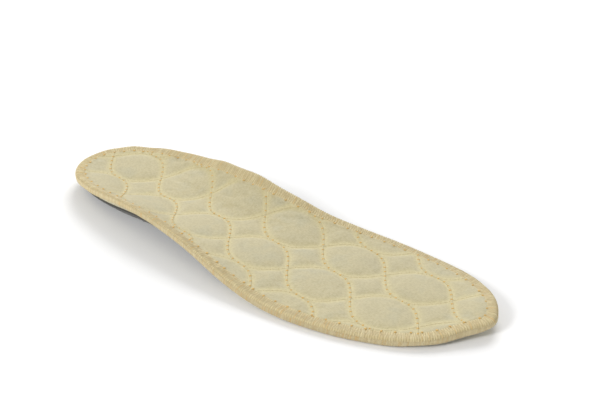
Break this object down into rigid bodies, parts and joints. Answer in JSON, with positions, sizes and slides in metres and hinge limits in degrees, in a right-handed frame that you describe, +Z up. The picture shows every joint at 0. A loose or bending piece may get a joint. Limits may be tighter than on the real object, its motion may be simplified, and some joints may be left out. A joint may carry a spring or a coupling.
{
  "type": "cushioned insole",
  "caption": "Right-foot shoe insole: quilted cotton top on latex foam, arch and heel shell with a soft heel pad, perforated forefoot sheet that flexes at the ball.",
  "frame": {"origin": "centre of the insole's outline in plan, on the floor that it stands on", "axes": "+X from heel to toe, +Y towards the inner (arch) side of the foot, +Z up through the cover"},
  "size_m": [0.2706, 0.0898, 0.0255],
  "materials": {
    "cover_fabric": "matte quilted cotton terry",
    "wadding": "soft fibre wadding",
    "scrim": "thin backing scrim",
    "latex_foam": "flecked open-cell latex foam",
    "white_liner": "thin white liner",
    "black_sheet": "matte black punched sheet",
    "edge_thread": "overlocked cotton thread",
    "quilting_thread": "cotton sewing thread",
    "shell_plastic": "satin moulded plastic",
    "bond_film": "clear dried adhesive",
    "red_pad": "satin soft elastomer"
  },
  "bodies": {
    "heel_and_arch": {"cover_rear": "cover_fabric", "wadding_rear": "wadding", "scrim_rear": "scrim", "foam_base_rear": "latex_foam", "white_liner_rear": "white_liner", "perforated_sheet_rear": "black_sheet", "upper_looper_rear": "edge_thread", "lower_looper_rear": "edge_thread", "quilting_falling_rear": "quilting_thread", "quilting_rising_rear": "quilting_thread", "arch_shell": "shell_plastic", "shell_bond": "bond_film", "heel_pad": "red_pad"},
    "forefoot": {"cover_front": "cover_fabric", "wadding_front": "wadding", "scrim_front": "scrim", "foam_base_front": "latex_foam", "white_liner_front": "white_liner", "perforated_sheet_front": "black_sheet", "upper_looper_front": "edge_thread", "lower_looper_front": "edge_thread", "quilting_falling_front": "quilting_thread", "quilting_rising_front": "quilting_thread"}
  },
  "joints": [
    {"name": "forefoot_flex", "type": "hinge", "parent": "heel_and_arch", "child": "forefoot", "pos_m": [0.0434, 0, 0.0105], "axis": [0, -1, 0], "range_deg": [0, 50], "stiffness_Nm_per_rad": 0.06}
  ]
}
